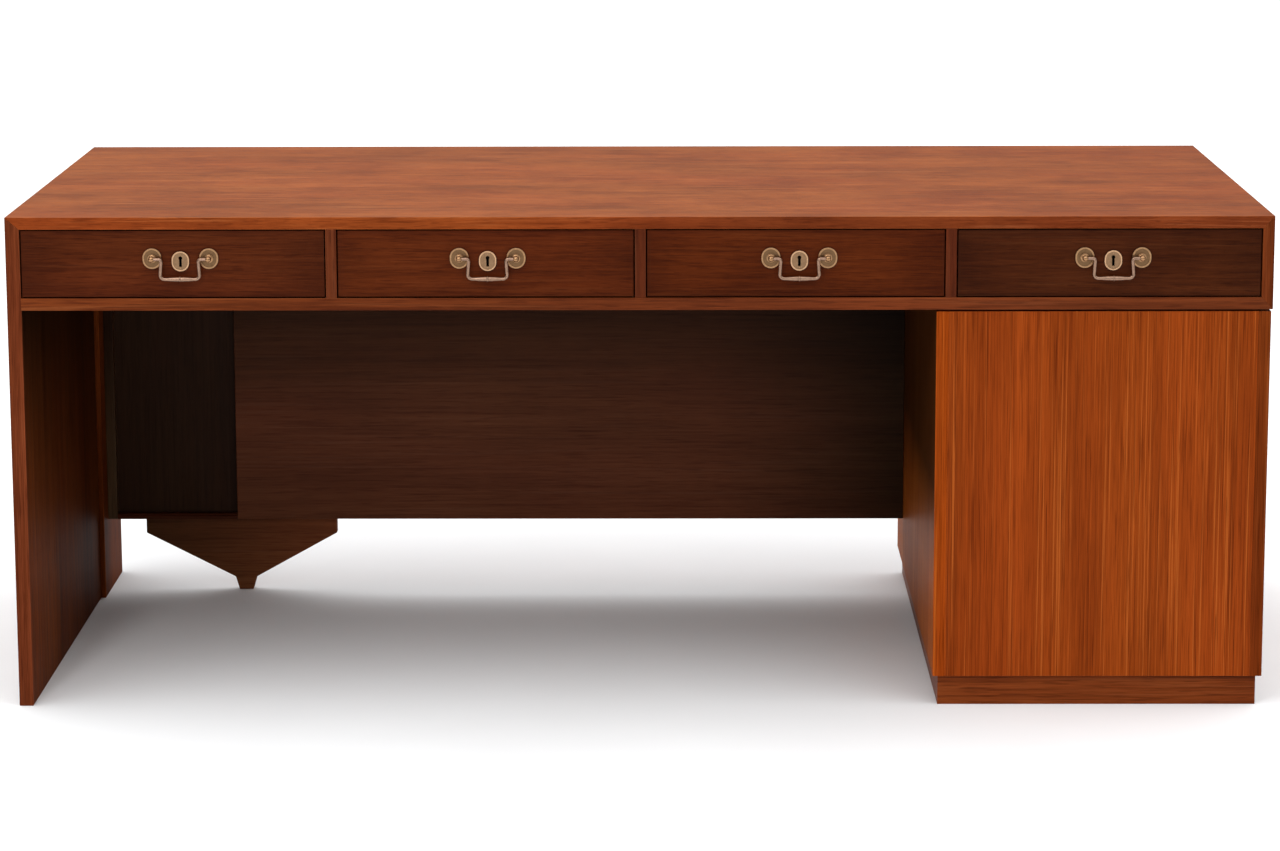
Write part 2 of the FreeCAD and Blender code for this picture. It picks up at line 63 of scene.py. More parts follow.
# The axes of a place, and the two corners of a node's box.
X, Y, Z = 0, 1, 2
LOW, HIGH = 0, 1

# The directions that wood grain runs in: the axis along the grain, then the two across it.
ALONG_X, ALONG_Y, ALONG_Z = (X, Y, Z), (Y, X, Z), (Z, X, Y)

# The plane of the case's front edges, the solid wood edging on each board there, and the drawers' face.
FRONT_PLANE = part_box("top_board")[LOW].y
EDGING = 0.006
DRAWER_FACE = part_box("drawer_1_front")[LOW].y

UNTINTED = (1.0, 1.0, 1.0)
MIDDLE = (0.5, 0.5, 0.5)


class Tree:
    """Builds a node tree in few words."""

    BUMP_DEPTH = 0.0002
    OPENNESS_SAMPLES = 8

    def __init__(self, tree):
        self.tree = tree
        self.tree.nodes.clear()

    def put(self, value, socket):
        """Links a socket into another, or sets a plain value on it."""
        if isinstance(value, bpy.types.NodeSocket):
            self.tree.links.new(value, socket)
        else:
            socket.default_value = value

    def add(self, kind, inputs=None, **settings):
        """Adds a node, with its settings and its inputs by name or number."""
        made = self.tree.nodes.new(kind)
        for key, value in settings.items():
            setattr(made, key, value)
        for key, value in (inputs or {}).items():
            self.put(value, made.inputs[key])
        return made

    def place(self, kind):
        """The place on the surface, in one of the kinds of coordinates."""
        return self.add("ShaderNodeTexCoord").outputs[kind]

    def split(self, vector):
        """The three numbers of a vector."""
        return self.add("ShaderNodeSeparateXYZ", {0: vector}).outputs

    def math(self, operation, first, second=0.0):
        """One sum of two numbers."""
        return self.add("ShaderNodeMath", {0: first, 1: second}, operation=operation).outputs[0]

    def vector(self, operation, first, second=(0.0, 0.0, 0.0)):
        """One sum of two vectors."""
        return self.add("ShaderNodeVectorMath", {0: first, 1: second}, operation=operation).outputs[0]

    def mix(self, kind, share, first, second):
        """Two colours mixed by a share, in one of the blending kinds."""
        made = self.add("ShaderNodeMix", data_type="RGBA", blend_type=kind)
        share_input, first_input, second_input, colour_output = 0, 6, 7, 2
        for value, place in ((share, share_input), (first, first_input), (second, second_input)):
            self.put(value, made.inputs[place])
        return made.outputs[colour_output]

    def tint(self, colour, share, tone):
        """A colour multiplied by a tone, by a share."""
        return self.mix("MULTIPLY", share, colour, (*tone, 1.0))

    def spread(self, value, low, high, to_low=0.0, to_high=1.0):
        """A number moved from one range to another and held inside it."""
        inputs = {"Value": value, "From Min": low, "From Max": high, "To Min": to_low, "To Max": to_high}
        return self.add("ShaderNodeMapRange", inputs).outputs[0]

    def noise(self, vector, detail=2.0, roughness=0.5, scale=1.0):
        """Smooth noise from 0 to 1."""
        inputs = {"Vector": vector, "Scale": scale, "Detail": detail, "Roughness": roughness}
        return self.add("ShaderNodeTexNoise", inputs).outputs[0]

    def ramp(self, value, stops):
        """A colour from a list of places and colours."""
        made = self.add("ShaderNodeValToRGB", {0: value})
        elements = made.color_ramp.elements
        while len(elements) < len(stops):
            elements.new(1.0)
        for element, (place, colour) in zip(elements, stops):
            element.position = place
            element.color = (*colour, 1.0)
        return made.outputs[0]

    def openness(self, reach):
        """How open the surface is, from 0 in a corner to 1 where nothing lies within reach."""
        inputs = {"Distance": reach}
        return self.add("ShaderNodeAmbientOcclusion", inputs, samples=self.OPENNESS_SAMPLES).outputs["AO"]

    def bump(self, height, strength):
        """A normal that follows a fine relief."""
        inputs = {"Strength": strength, "Distance": self.BUMP_DEPTH, "Height": height}
        return self.add("ShaderNodeBump", inputs).outputs[0]


def surface(name, build):
    """A new material whose shader takes the inputs that a function makes in its tree."""
    material = bpy.data.materials.new(name)
    material.use_nodes = True
    tree = Tree(material.node_tree)
    shader = tree.add("ShaderNodeBsdfPrincipled", build(tree))
    tree.add("ShaderNodeOutputMaterial", {0: shader.outputs[0]})
    return material


def shade_of(base, shares):
    """A neighbour of a colour, with a share of its red, green and blue."""
    return tuple(part * share for part, share in zip(base, shares))


def grey(value):
    """The same share of red, green and blue."""
    return (value, value, value)


class Wood(NamedTuple):
    """A wood: its middle colour, the strength of each layer of its figure, and its gloss."""

    base: tuple
    # Soft bands, streaks in them, fibres and growth rings, and how far they go from the middle colour.
    broad: float
    streaks: float
    fibres: float
    rings: float
    contrast: float
    # Streaks in a metre across the grain, and how far the grain sways, in metres.
    fine: float
    sway: float
    # Thin lines, dark blotches and short pores.
    pale_lines: float
    dark_lines: float
    blotch: float
    pores: float
    # Gloss, with the roughness of its smoothest and of its roughest places.
    specular: float
    ior: float
    roughness: tuple
    # How much shorter its figure and how much finer its thin lines are than usual.
    shorter: float = 1.0
    finer: float = 1.0
    # Arrises rubbed pale and given a painted highlight, ends and edges gone dark, and painted contact shade
    # with some grime close to what stands on the board.
    wear_and_highlight: float = 0.6
    patina: float = 0.0
    painted_contact_shade: float = 0.0


# The woods of the case, the top, the pedestal, the drawers' fronts, the boards behind the knee space, the
# sunk panel and the drawers' boxes.
CASE = Wood(
    base=(0.136, 0.0265, 0.0054),
    broad=0.50, streaks=0.50, fibres=0.35, rings=0.05, contrast=0.60, fine=130.0, sway=0.010,
    pale_lines=0.30, dark_lines=0.45, blotch=0.30, pores=0.30,
    specular=0.10, ior=1.30, roughness=(0.32, 0.44),
)
TOP = Wood(
    base=(0.284, 0.0700, 0.0140), shorter=2.2, finer=1.3,
    broad=0.36, streaks=0.42, fibres=0.30, rings=0.02, contrast=0.50, fine=200.0, sway=0.014,
    pale_lines=0.42, dark_lines=0.42, blotch=0.42, pores=0.20,
    specular=0.60, ior=1.08, roughness=(0.30, 0.42),
)
PEDESTAL = Wood(
    base=(0.262, 0.0450, 0.0042), shorter=0.60, finer=1.7,
    broad=0.50, streaks=0.50, fibres=0.40, rings=0.02, contrast=0.42, fine=400.0, sway=0.004,
    pale_lines=0.60, dark_lines=0.56, blotch=0.25, pores=0.35,
    specular=0.05, ior=1.30, roughness=(0.34, 0.46),
)
FRONT = Wood(
    base=(0.086, 0.0155, 0.0032), shorter=1.6, finer=1.3,
    broad=0.34, streaks=0.40, fibres=0.35, rings=0.03, contrast=0.50, fine=170.0, sway=0.010,
    pale_lines=0.18, dark_lines=0.45, blotch=0.45, pores=0.40,
    specular=0.05, ior=1.40, roughness=(0.30, 0.44), patina=0.40, painted_contact_shade=0.75,
)
KNEE = Wood(
    base=(0.127, 0.0365, 0.0120),
    broad=0.40, streaks=0.45, fibres=0.30, rings=0.03, contrast=0.35, fine=140.0, sway=0.010,
    pale_lines=0.10, dark_lines=0.30, blotch=0.20, pores=0.30,
    specular=0.10, ior=1.30, roughness=(0.36, 0.50), wear_and_highlight=0.0,
)
SUNK = Wood(
    base=(0.0265, 0.0122, 0.0050),
    broad=0.40, streaks=0.40, fibres=0.30, rings=0.02, contrast=0.35, fine=140.0, sway=0.010,
    pale_lines=0.10, dark_lines=0.25, blotch=0.20, pores=0.25,
    specular=0.10, ior=1.30, roughness=(0.36, 0.50),
)
BOX = Wood(
    base=(0.440, 0.262, 0.128),
    broad=0.40, streaks=0.40, fibres=0.30, rings=0.04, contrast=0.30, fine=120.0, sway=0.010,
    pale_lines=0.12, dark_lines=0.25, blotch=0.15, pores=0.25,
    specular=0.30, ior=1.40, roughness=(0.42, 0.56),
)

# The same woods on upright panels, which are seen at a slant and shine less.
END = CASE._replace(ior=1.12, roughness=(0.48, 0.60))
SIDE = PEDESTAL._replace(ior=1.12, roughness=(0.36, 0.48))


class Mark(NamedTuple):
    """A kind of mark in wood: noise in changes a metre along and across the grain, the span of it in which
    the mark fades in, and the mark's tint."""

    along: float
    across: float
    low: float
    high: float
    tint: tuple
    detail: float = 1.0
    roughness: float = 0.5


DARK_LINE_TINT = (0.38, 0.28, 0.30)
BLUSH = Mark(along=1.3, across=6.0, low=0.42, high=0.68, tint=(0.98, 0.80, 0.85))
BLOTCHES = Mark(
    along=4.5, across=10.0, low=0.46, high=0.66, tint=(0.58, 0.50, 0.50), detail=3.0, roughness=0.6
)
PALE_LINES = Mark(along=2.6, across=190.0, low=0.60, high=0.69, tint=(1.7, 2.3, 3.2))
LONG_DARK_LINES = Mark(along=7.0, across=230.0, low=0.60, high=0.70, tint=DARK_LINE_TINT)
SHORT_DARK_LINES = Mark(along=18.0, across=340.0, low=0.60, high=0.70, tint=DARK_LINE_TINT)
PORES = Mark(along=34.0, across=1300.0, low=0.62, high=0.72, tint=(0.30, 0.24, 0.22), roughness=0.4)


class Grain:
    """One board's wood in the making: its tree, and noise that follows its grain."""

    # How far each board's figure lies from the one before it, and how often the grain sways in a metre.
    BOARD_STEP = (1.37, 0.731, 0.417)
    SWAYS = (1.6, 5.0, 5.0)
    # Growth rings, drawn out along the grain round a middle beside the board.
    RING_STRETCH = (0.12, 1.0, 1.0)
    RING_MIDDLE = (0.0, 0.21, 0.13)
    RING_WAVE = {"Scale": 9.0, "Distortion": 3.0, "Detail": 2.0, "Detail Scale": 1.5}
    # How far red, green and blue go from the middle colour at full contrast, and the figure's value where it
    # is deep, middling and light. Every layer of noise is middling at the same value.
    DEEP_SHARES = (0.75, 0.80, 0.80)
    LIGHT_SHARES = (0.75, 0.95, 1.10)
    DEEP_AT, MIDDLE_AT, LIGHT_AT = 0.34, 0.50, 0.66
    BLUSH_STRENGTH = 0.5
    # Where patina starts and is full, in shares of the board's length and height from its middle, and how
    # open a place is where the painted contact shade, with some grime, starts and is full.
    PATINA_AT_ENDS = (0.34, 0.50)
    PATINA_AT_EDGES = (0.38, 0.50)
    PATINA_TINT = (0.40, 0.36, 0.36)
    CONTACT_SHADE_REACH = 0.012
    GRIME_CLEAN, GRIME_FULL = 0.96, 0.40
    CONTACT_SHADE_TINT = (0.40, 0.35, 0.34)
    # An arris is rubbed pale, with a painted highlight, where its surface faces no axis squarely, and least
    # between its worn patches.
    SQUARE, ROUNDED = 0.99, 0.92
    PALE_PATCH_SPAN = (0.35, 0.60)
    LEAST_PALE = 0.35
    PALE_ARRIS_TINT = (1.9, 2.1, 2.3)
    # How much pores count beside streaks in the gloss, and the span in which it goes from smooth to rough.
    PORES_IN_GLOSS = 0.4
    OPEN_GRAIN_SPAN = (0.3, 0.9)
    # How much fibres count beside pores in the relief, and the relief's strength.
    FIBRES_IN_RELIEF = 0.5
    RELIEF = 0.2

    def __init__(self, tree, look, axes, seed):
        self.tree = tree
        self.look = look
        self.parts = tree.split(tree.place("Object"))
        self.place = self.along_grain(axes, seed)
        self.streaks = self.layer(along=3.0, across=look.fine, detail=4.0, roughness=0.6)
        self.fibres = self.layer(along=22.0, across=900.0, detail=2.0, roughness=0.6)
        self.pores = self.shown(PORES)

    def along_grain(self, axes, seed):
        """A place whose first number runs along the grain, which sways a little."""
        tree, sway = self.tree, self.look.sway
        turned = {to: self.parts[source] for to, source in enumerate(axes)}
        place = tree.add("ShaderNodeCombineXYZ", turned).outputs[0]
        place = tree.vector("ADD", place, tuple(seed * step for step in self.BOARD_STEP))
        slow = tree.vector("MULTIPLY", place, self.SWAYS)
        bend = tree.add("ShaderNodeTexNoise", {"Vector": slow, "Scale": 1.0, "Detail": 1.0}).outputs["Color"]
        centred = tree.vector("SUBTRACT", bend, MIDDLE)
        return tree.vector("ADD", place, tree.vector("MULTIPLY", centred, (0.0, sway, sway)))

    def layer(self, along, across, detail=2.0, roughness=0.5):
        """Noise with so many changes in a metre along the grain and across it."""
        sizes = (along * self.look.shorter, across, across)
        return self.tree.noise(self.tree.vector("MULTIPLY", self.place, sizes), detail, roughness)

    def shown(self, mark, finer=1.0, most=1.0):
        """Where a mark shows, from 0 to its most."""
        noise = self.layer(mark.along, mark.across * finer, mark.detail, mark.roughness)
        return self.tree.spread(noise, mark.low, mark.high, 0.0, most)

    def figured(self):
        """The middle colour, deeper and lighter in bands, streaks, rings and fibres."""
        tree, look = self.tree, self.look
        ring_place = tree.vector("MULTIPLY", self.place, self.RING_STRETCH)
        ring_place = tree.vector("ADD", ring_place, self.RING_MIDDLE)
        wave = {"Vector": ring_place, **self.RING_WAVE}
        rings = tree.add("ShaderNodeTexWave", wave, wave_type="RINGS", rings_direction="X").outputs["Fac"]
        layers = (
            (self.layer(along=1.5, across=11.0), look.broad),
            (self.streaks, look.streaks),
            (rings, look.rings),
            (self.fibres, look.fibres),
        )
        total = self.MIDDLE_AT
        for value, strength in layers:
            offset = tree.math("MULTIPLY", tree.math("SUBTRACT", value, self.MIDDLE_AT), strength)
            total = tree.math("ADD", offset, total)
        deep = shade_of(look.base, [1 - share * look.contrast for share in self.DEEP_SHARES])
        light = shade_of(look.base, [1 + share * look.contrast for share in self.LIGHT_SHARES])
        return tree.ramp(total, ((self.DEEP_AT, deep), (self.MIDDLE_AT, look.base), (self.LIGHT_AT, light)))

    def clouded(self, colour):
        """Adds a soft blush and dark blotches."""
        tree = self.tree
        colour = tree.tint(colour, self.shown(BLUSH, most=self.BLUSH_STRENGTH), BLUSH.tint)
        blotches = tree.math("MULTIPLY", self.shown(BLOTCHES), self.look.blotch)
        return tree.tint(colour, blotches, BLOTCHES.tint)

    def lined(self, colour):
        """Adds thin pale and dark lines and short pores."""
        tree, look = self.tree, self.look
        kinds = (
            (PALE_LINES, look.pale_lines),
            (LONG_DARK_LINES, look.dark_lines),
            (SHORT_DARK_LINES, look.dark_lines),
        )
        for mark, strength in kinds:
            lines = tree.math("MULTIPLY", self.shown(mark, look.finer), strength)
            colour = tree.mix("MIX", lines, colour, (*shade_of(look.base, mark.tint), 1.0))
        pores = tree.math("MULTIPLY", self.pores, look.pores)
        return tree.tint(colour, pores, PORES.tint)

    def aged_and_shaded(self, colour):
        """Adds a patina near the ends and edges, and painted contact shade, with some grime, close to what
        stands on the board.
        """
        tree, look = self.tree, self.look
        if look.patina:
            from_middle = tree.split(tree.vector("SUBTRACT", tree.place("Generated"), MIDDLE))
            near_end = tree.spread(tree.math("ABSOLUTE", from_middle[X]), *self.PATINA_AT_ENDS)
            near_edge = tree.spread(tree.math("ABSOLUTE", from_middle[Z]), *self.PATINA_AT_EDGES)
            patina = tree.math("MULTIPLY", tree.math("MAXIMUM", near_end, near_edge), look.patina)
            colour = tree.tint(colour, patina, self.PATINA_TINT)
        # Painted contact shade, with some grime: darker where a part stands close, as round the pulls and in
        # the reveals.
        if look.painted_contact_shade:
            openness = tree.openness(self.CONTACT_SHADE_REACH)
            painted_contact_shade = tree.spread(openness, self.GRIME_CLEAN, self.GRIME_FULL, 0.0, look.painted_contact_shade)
            colour = tree.tint(colour, painted_contact_shade, self.CONTACT_SHADE_TINT)
        return colour

    def stained_and_shaded(self, colour, stains_and_shade):
        """Adds the stains and the painted shade and light on faces. One that faces along X leaves out the
        edging at the board's front.
        """
        tree, parts = self.tree, self.parts
        for stain_and_shade in stains_and_shade:
            inside = tree.math("LESS_THAN", parts[stain_and_shade.facing], stain_and_shade.high)
            inside = tree.math("MULTIPLY", inside, tree.math("GREATER_THAN", parts[stain_and_shade.facing], stain_and_shade.low))
            if stain_and_shade.facing == X:
                behind_edging = tree.math("GREATER_THAN", parts[Y], FRONT_PLANE + EDGING)
                inside = tree.math("MULTIPLY", inside, behind_edging)
            share = tree.spread(parts[stain_and_shade.along], stain_and_shade.start, stain_and_shade.end)
            tone = tree.mix("MIX", share, (*stain_and_shade.first, 1.0), (*stain_and_shade.last, 1.0))
            colour = tree.mix("MULTIPLY", inside, colour, tone)
        return colour

    def rubbed_and_highlighted(self, colour):
        """Rubs the arrises paler, in patches: wear, and a painted highlight where light would catch them."""
        tree = self.tree
        slopes = tree.split(tree.vector("ABSOLUTE", tree.place("Normal")))
        squarest = tree.math("MAXIMUM", tree.math("MAXIMUM", slopes[X], slopes[Y]), slopes[Z])
        arris = tree.math("MULTIPLY", tree.spread(squarest, self.SQUARE, self.ROUNDED), self.look.wear_and_highlight)
        patches = self.layer(along=9.0, across=9.0, detail=3.0, roughness=0.6)
        patches = tree.spread(patches, *self.PALE_PATCH_SPAN, self.LEAST_PALE, 1.0)
        arris = tree.math("MULTIPLY", arris, patches)
        return tree.mix("MIX", arris, colour, tree.tint(colour, 1.0, self.PALE_ARRIS_TINT))

    def gloss(self):
        """Roughness that follows the streaks and the pores."""
        tree = self.tree
        pores = tree.math("MULTIPLY", self.pores, self.PORES_IN_GLOSS)
        open_grain = tree.math("ADD", self.streaks, pores)
        return tree.spread(open_grain, *self.OPEN_GRAIN_SPAN, *self.look.roughness)

    def relief(self):
        """Raised fibres and open pores."""
        tree = self.tree
        fibres = tree.math("MULTIPLY", self.fibres, self.FIBRES_IN_RELIEF)
        return tree.bump(tree.math("SUBTRACT", fibres, self.pores), self.RELIEF)


def wood(name, look, axes, seed, tone=UNTINTED, stains_and_shade=()):
    """A lacquered board of one wood, in its own tone, with its stains and its painted shade and light."""

    def build(tree):
        grain = Grain(tree, look, axes, seed)
        colour = grain.lined(grain.clouded(grain.figured()))
        colour = tree.tint(colour, 1.0, tone)
        colour = grain.rubbed_and_highlighted(grain.stained_and_shaded(grain.aged_and_shaded(colour), stains_and_shade))
        return {
            "Base Color": colour,
            "Roughness": grain.gloss(),
            "IOR": look.ior,
            "Specular IOR Level": look.specular,
            "Normal": grain.relief(),
        }

    return surface(name, build)


# Brass: how far before the drawers' face it starts to be rubbed bright and is bright all over, the
# openness of its corners and flats, and how bright it still is in a dull patch and in a low place.
RUBBED_FROM, RUBBED_TO = 0.0014, 0.0020
CORNER, OPEN = 0.20, 0.80
PATCH_SPAN, LEAST_IN_PATCH = (0.30, 0.60), 0.70
LEAST_IN_LOW_PLACE = 0.40

# Brass's uneven gloss, and the patches and the finer dents of its relief.
GLOSS_FROM_RUBBING = -0.5
GLOSS_SPAN = (-0.2, 0.5)
PATCHES_IN_RELIEF, DENTS_IN_RELIEF = 0.7, 0.3
BRASS_RELIEF = 0.3


def brass(name, bright, dull, roughness, reach=0.003):
    """Aged brass with small dents: bright where it stands proud, dull in low places and in corners.
    The reach is how far from a corner it starts to go dull."""

    def build(tree):
        place = tree.place("Object")
        patches = tree.noise(place, detail=3.0, roughness=0.6, scale=260.0)
        dents = tree.noise(place, detail=2.0, roughness=0.5, scale=1400.0)
        share = tree.spread(tree.openness(reach), CORNER, OPEN)
        share = tree.math("MULTIPLY", share, tree.spread(patches, *PATCH_SPAN, LEAST_IN_PATCH, 1.0))
        proud = tree.spread(tree.split(place)[Y], DRAWER_FACE - RUBBED_FROM, DRAWER_FACE - RUBBED_TO)
        share = tree.math("MULTIPLY", share, tree.spread(proud, 0.0, 1.0, LEAST_IN_LOW_PLACE, 1.0))
        uneven = tree.math("ADD", patches, tree.math("MULTIPLY", share, GLOSS_FROM_RUBBING))
        broad_relief = tree.math("MULTIPLY", patches, PATCHES_IN_RELIEF)
        height = tree.math("ADD", broad_relief, tree.math("MULTIPLY", dents, DENTS_IN_RELIEF))
        return {
            "Base Color": tree.mix("MIX", share, (*dull, 1.0), (*bright, 1.0)),
            "Metallic": 1.0,
            "Roughness": tree.spread(uneven, *GLOSS_SPAN, *roughness),
            "Normal": tree.bump(height, BRASS_RELIEF),
        }

    return surface(name, build)


def give(node, material):
    """Puts a material in a node's slot."""
    mesh = nodes[node].data
    mesh.materials.clear()
    mesh.materials.append(material)


# The width of a rounded edge on boards and on metal, and the angle from which an edge is rounded.
BOARD_ARRIS = 0.0011
METAL_ARRIS = 0.0004
SHARP_DEGREES = 40

# Points this near are welded, and triangles within this angle make one face again.
WELD_REACH = 1e-6
FLAT_DEGREES = 0.5


def soften(node, width):
    """Rounds a node's sharp edges over for the light to catch."""
    piece = nodes[node]
    weld = piece.modifiers.new("weld", "WELD")
    weld.merge_threshold = WELD_REACH
    whole = piece.modifiers.new("whole_faces", "DECIMATE")
    whole.decimate_type = "DISSOLVE"
    whole.angle_limit = math.radians(FLAT_DEGREES)
    bevel = piece.modifiers.new("arris", "BEVEL")
    bevel.width = width
    bevel.segments = 2
    bevel.limit_method = "ANGLE"
    bevel.angle_limit = math.radians(SHARP_DEGREES)
    bevel.use_clamp_overlap = True
    flats = piece.modifiers.new("flats", "WEIGHTED_NORMAL")
    flats.mode = "FACE_AREA"
    flats.weight = 100
    flats.keep_sharp = False


class StainAndShade(NamedTuple):
    """A face in another tone, a stain on some faces and painted shade and light on others: the axis that it
    faces and its span there, and a second axis along which the tone goes from its first at the start to its
    last at the end."""

    facing: int
    low: float
    high: float
    along: int
    start: float
    end: float
    first: tuple
    last: tuple


# How deep a tone goes into a front edge, into a board, and into the two panels beside the knee space.
EDGE_SKIN = 0.0002
SKIN = 0.001
PANEL_SKIN = 0.003


def stain_and_shade(node, corner, facing, depth, along, start, end, first, last):
    """A tone on one side of a node, which is named by a corner of its box and the axis that it faces. It
    makes the stains and the painted shade and light alike.
    """
    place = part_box(node)[corner][facing]
    outward = -SKIN if corner == LOW else SKIN
    inward = depth if corner == LOW else -depth
    low, high = sorted((place + outward, place + inward))
    return StainAndShade(facing, low, high, along, start, end, first, last)


TOP_EDGE = stain_and_shade("top_board", LOW, Y, EDGE_SKIN, X, -0.25, 0.15, (0.79, 0.64, 0.59), (0.56, 0.44, 0.52))
TOP_FACE = stain_and_shade("top_board", HIGH, Z, SKIN, X, 0.20, 0.80, (0.95, 0.99, 1.05), (0.88, 0.85, 0.80))
RAIL_FACE = stain_and_shade("case_bottom", LOW, Y, EDGE_SKIN, X, -0.60, 0.10, (1.32, 1.45, 1.50), (0.92, 0.98, 1.15))
# Painted shade on the inner face of the left end panel, darker towards the top.
END_INSIDE_PAINTED_SHADE = stain_and_shade(
    "left_end_panel", HIGH, X, PANEL_SKIN, Z, 0.20, 0.60, (0.89, 0.86, 0.52), (0.13, 0.21, 0.21)
)
# The same face, darker towards the back.
END_REAR = stain_and_shade(
    "left_end_panel", HIGH, X, PANEL_SKIN, Y, -0.42, 0.05, (1.05, 1.06, 1.02), (0.66, 0.68, 0.72)
)
# Painted shade and a painted reflection on the pedestal's side facing the knee space: dark towards the top,
# and pale low down, where its lacquer would mirror the floor.
PEDESTAL_INSIDE_SHADE_AND_REFLECTION = stain_and_shade(
    "pedestal_left_side", LOW, X, PANEL_SKIN, Z, 0.18, 0.33, (1.14, 1.64, 2.36), (0.19, 0.34, 0.82)
)
# Painted shade on the modesty panel's front, dark towards the top under the case, and painted light low down,
# where the floor's light would fall.
KNEE_FACE_PAINTED_SHADE = stain_and_shade("modesty_panel", LOW, Y, SKIN, Z, 0.30, 0.47, (1.12, 1.25, 1.58), (0.36, 0.42, 0.46))
# Painted shade on the modesty panel's front, darker towards the pedestal at its right end.
KNEE_RIGHT_PAINTED_SHADE = stain_and_shade("modesty_panel", LOW, Y, SKIN, X, 0.12, 0.42, UNTINTED, (0.28, 0.38, 0.38))
KNEE_BACK = stain_and_shade("modesty_panel", HIGH, Y, SKIN, Z, 0.0, 1.0, (1.22, 0.86, 0.56), (1.10, 0.74, 0.48))
# Painted shade on the corner cleat's front, dark towards the top and lighter low down, as on the modesty
# panel.
CLEAT_FACE_PAINTED_SHADE = stain_and_shade("corner_cleat", LOW, Y, SKIN, Z, 0.21, 0.45, (1.35, 1.60, 1.70), (0.40, 0.34, 0.30))
# Painted shade on the foot board's front, darker towards the left, where the end panel keeps light off.
FOOT_FACE_PAINTED_SHADE = stain_and_shade("foot_board", LOW, Y, SKIN, X, -0.83, -0.53, (0.68, 0.80, 0.86), (1.28, 1.21, 1.25))
FOOT_BACK = stain_and_shade("foot_board", HIGH, Y, SKIN, Z, 0.0, 1.0, (1.06, 0.66, 0.43), (1.06, 0.66, 0.43))


class Board(NamedTuple):
    """A board's wood, the direction of its grain, its tone, and its stains and painted shade and light."""

    look: Wood
    axes: tuple
    tone: tuple = UNTINTED
    stains_and_shade: tuple = ()


# A board's place in this list shifts its figure, so that no two boards look alike.
BOARDS = {
    "top_board": Board(TOP, ALONG_X, grey(1.02), (TOP_EDGE, TOP_FACE)),
    "left_end_panel": Board(END, ALONG_Z, (1.03, 1.21, 1.90), (END_INSIDE_PAINTED_SHADE, END_REAR)),
    "end_lining": Board(END, ALONG_Z, (0.90, 0.95, 0.78)),
    "right_case_side": Board(END, ALONG_Z, (1.10, 1.20, 1.40)),
    "case_bottom": Board(CASE, ALONG_X, UNTINTED, (RAIL_FACE,)),
    "case_back": Board(CASE, ALONG_X),
    "dividers": Board(CASE, ALONG_Z, (0.70, 0.73, 0.96)),
    "pedestal_front": Board(PEDESTAL, ALONG_Z, (1.02, 1.05, 1.24)),
    "pedestal_left_side": Board(SIDE, ALONG_Z, grey(1.12), (PEDESTAL_INSIDE_SHADE_AND_REFLECTION,)),
    "pedestal_right_side": Board(SIDE, ALONG_Z, (0.70, 0.78, 1.36)),
    "pedestal_top": Board(PEDESTAL, ALONG_X, grey(0.85)),
    "pedestal_bottom": Board(PEDESTAL, ALONG_X, grey(0.85)),
    "bookcase_back": Board(PEDESTAL, ALONG_Z, grey(0.85)),
    "bookcase_shelf": Board(PEDESTAL, ALONG_X, grey(0.90)),
    "plinth": Board(CASE, ALONG_X, (1.25, 1.30, 1.20)),
    "modesty_panel": Board(KNEE, ALONG_X, UNTINTED, (KNEE_FACE_PAINTED_SHADE, KNEE_RIGHT_PAINTED_SHADE, KNEE_BACK)),
    "sunk_panel": Board(SUNK, ALONG_Z, (1.22, 1.12, 1.22)),
    "corner_cleat": Board(KNEE, ALONG_Z, (0.48, 0.75, 0.95), (CLEAT_FACE_PAINTED_SHADE,)),
    "foot_board": Board(KNEE, ALONG_X, (1.15, 1.30, 1.30), (FOOT_FACE_PAINTED_SHADE, FOOT_BACK)),
    "drawer_stop_board": Board(BOX, ALONG_X, grey(0.9)),
}

# The drawers' fronts from left to right, each in its own tone.
FRONT_TONES = ((0.90, 0.96, 1.04), (1.05, 1.05, 0.96), (1.00, 0.97, 0.75), (0.64, 0.81, 0.87))
for number, tone in zip(DRAWERS, FRONT_TONES):
    BOARDS[f"drawer_{number}_front"] = Board(FRONT, ALONG_X, tone)
    BOARDS[f"drawer_{number}_left_side"] = Board(BOX, ALONG_Y)
    BOARDS[f"drawer_{number}_right_side"] = Board(BOX, ALONG_Y, grey(0.97))
    BOARDS[f"drawer_{number}_back"] = Board(BOX, ALONG_X, grey(0.95))
    BOARDS[f"drawer_{number}_bottom"] = Board(BOX, ALONG_X, grey(1.05))


def dress_boards():
    """Gives every board its wood and, but for the mitred boards of the plinth, soft arrises."""
    for seed, (name, board) in enumerate(BOARDS.items(), start=1):
        give(name, wood(f"{name}_wood", board.look, board.axes, seed, board.tone, board.stains_and_shade))
        if name != "plinth":
            soften(name, BOARD_ARRIS)


bail_brass = brass("bail_brass", (0.35, 0.216, 0.150), (0.05, 0.026, 0.015), (0.26, 0.42))
post_brass = brass("post_brass", (0.41, 0.228, 0.114), (0.06, 0.034, 0.015), (0.24, 0.42))
plate_brass = brass("plate_brass", (0.62, 0.370, 0.210), (0.08, 0.045, 0.020), (0.24, 0.42))
# The locks and bolts go dull over a long reach: painted shade, which keeps the lock dark behind the keyhole.
shaded_lock_brass = brass("shaded_lock_brass", (0.55, 0.40, 0.20), (0.02, 0.013, 0.007), (0.30, 0.45), reach=0.030)
screw_brass = brass("screw_brass", (0.48, 0.34, 0.17), (0.05, 0.03, 0.015), (0.28, 0.42), reach=0.001)


def dress_metal():
    """Gives the pulls, escutcheons, locks and bolts their brass."""
    for number in DRAWERS:
        give(f"bail_{number}", bail_brass)
        give(f"drawer_{number}_pull_posts", post_brass)
        give(f"drawer_{number}_escutcheon", plate_brass)
        for node in (f"drawer_{number}_lock", f"bolt_{number}"):
            give(node, shaded_lock_brass)
            soften(node, METAL_ARRIS)


